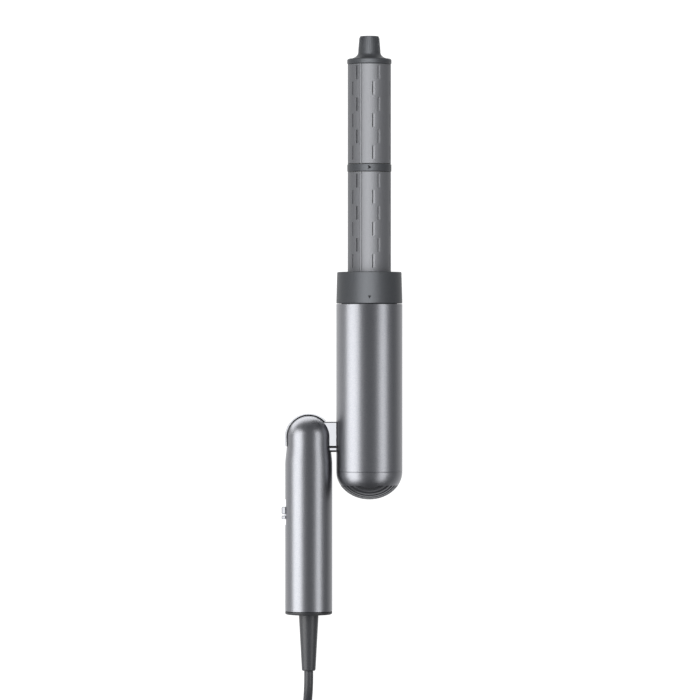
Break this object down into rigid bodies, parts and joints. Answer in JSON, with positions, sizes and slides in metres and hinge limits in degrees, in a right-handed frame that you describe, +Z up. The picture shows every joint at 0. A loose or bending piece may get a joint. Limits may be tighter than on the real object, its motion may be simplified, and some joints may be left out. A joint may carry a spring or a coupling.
{
  "type": "air curling iron",
  "caption": "Folding hot-air curling iron: slim handle hinged beside a blower tube with a slotted curling barrel, cool tip, slide switch and mains lead.",
  "frame": {"origin": "on the table, under the centre of the device's footprint without its mains lead", "axes": "+Y along the barrel towards the cool tip, +X from the handle towards the blower, +Z up from the table"},
  "size_m": [0.0993, 0.7133, 0.0459],
  "materials": {
    "silver_shell": "satin anodised with a fine sparkle",
    "polished_trim": "polished",
    "barrel_coating": "satin ceramic coating",
    "grey_plastic": "fine matte moulding",
    "dark_plastic": "matte moulding",
    "lead_sheath": "soft satin PVC",
    "black_rubber": "matte",
    "steel": "turned or stamped",
    "brass": "plain",
    "white_nylon": "moulded",
    "mica": "pressed sheet",
    "circuit_board": "solder mask"
  },
  "bodies": {
    "handle": {"handle_tube": "silver_shell", "dome_trim": "polished_trim", "handle_end_cap": "dark_plastic", "strain_relief": "lead_sheath", "cord_clamp_base": "white_nylon", "cord_clamp": "white_nylon", "clamp_screw_left": "steel", "clamp_screw_right": "steel", "switch_bezel": "dark_plastic", "switch_body": "dark_plastic", "control_board": "circuit_board", "suppression_capacitor": "brass", "heat_sink": "steel", "hinge_harness": "lead_sheath", "hinge_housing": "white_nylon", "hinge_bush": "brass", "hinge_neck": "polished_trim", "hinge_wave_washer": "steel", "mains_lead": "lead_sheath", "lead_hank": "lead_sheath", "hank_tie": "black_rubber", "lead_tail": "lead_sheath", "plug_body": "lead_sheath", "plug_pin_left": "brass", "plug_pin_right": "brass"},
    "switch_slider": {"slide_knob": "polished_trim"},
    "blower": {"hinge_axle": "steel", "hinge_retaining_ring": "steel", "hinge_flange": "steel", "blower_tube": "silver_shell", "motor_mount": "black_rubber", "motor_housing": "steel", "motor_stator": "brass", "lower_bearing": "steel", "upper_bearing": "steel", "bearing_spider": "dark_plastic", "diffuser_vanes": "dark_plastic", "heater_sleeve": "mica", "heater_frame": "mica", "heater_coil": "steel", "thermal_cutout": "steel", "outlet_nose": "dark_plastic", "outlet_grille": "dark_plastic", "nose_seal_ring": "black_rubber"},
    "intake": {"inlet_cap": "silver_shell", "inlet_filter": "steel"},
    "rotor": {"rotor_shaft": "steel", "rotor_magnet": "steel", "impeller": "dark_plastic"},
    "curler": {"attachment_collar": "grey_plastic", "lower_barrel": "barrel_coating", "barrel_ring": "grey_plastic", "upper_barrel": "barrel_coating"},
    "tip": {"cool_tip": "grey_plastic", "diverter_sleeve": "white_nylon"}
  },
  "joints": [
    {"name": "handle_fold", "type": "hinge", "parent": "handle", "child": "blower", "pos_m": [-0.00313, -0.05785, 0.01948], "axis": [0.9876, 0, 0.1568], "range_deg": [0, 180]},
    {"name": "switch_slide", "type": "slide", "parent": "handle", "child": "switch_slider", "axis": [0, 1, 0], "range_m": [-0.003, 0.004]},
    {"name": "rotor_spin", "type": "hinge", "parent": "blower", "child": "rotor", "pos_m": [0.0187, -0.05785, 0.02295], "axis": [0, 1, 0], "continuous": true},
    {"name": "intake_pull", "type": "slide", "parent": "blower", "child": "intake", "axis": [0, -1, 0], "range_m": [0, 0.03]},
    {"name": "curler_pull", "type": "slide", "parent": "blower", "child": "curler", "axis": [0, 1, 0], "range_m": [0, 0.03]},
    {"name": "tip_twist", "type": "hinge", "parent": "curler", "child": "tip", "pos_m": [0.0187, -0.05785, 0.02295], "axis": [0, 1, 0], "range_deg": [0, 45]}
  ]
}
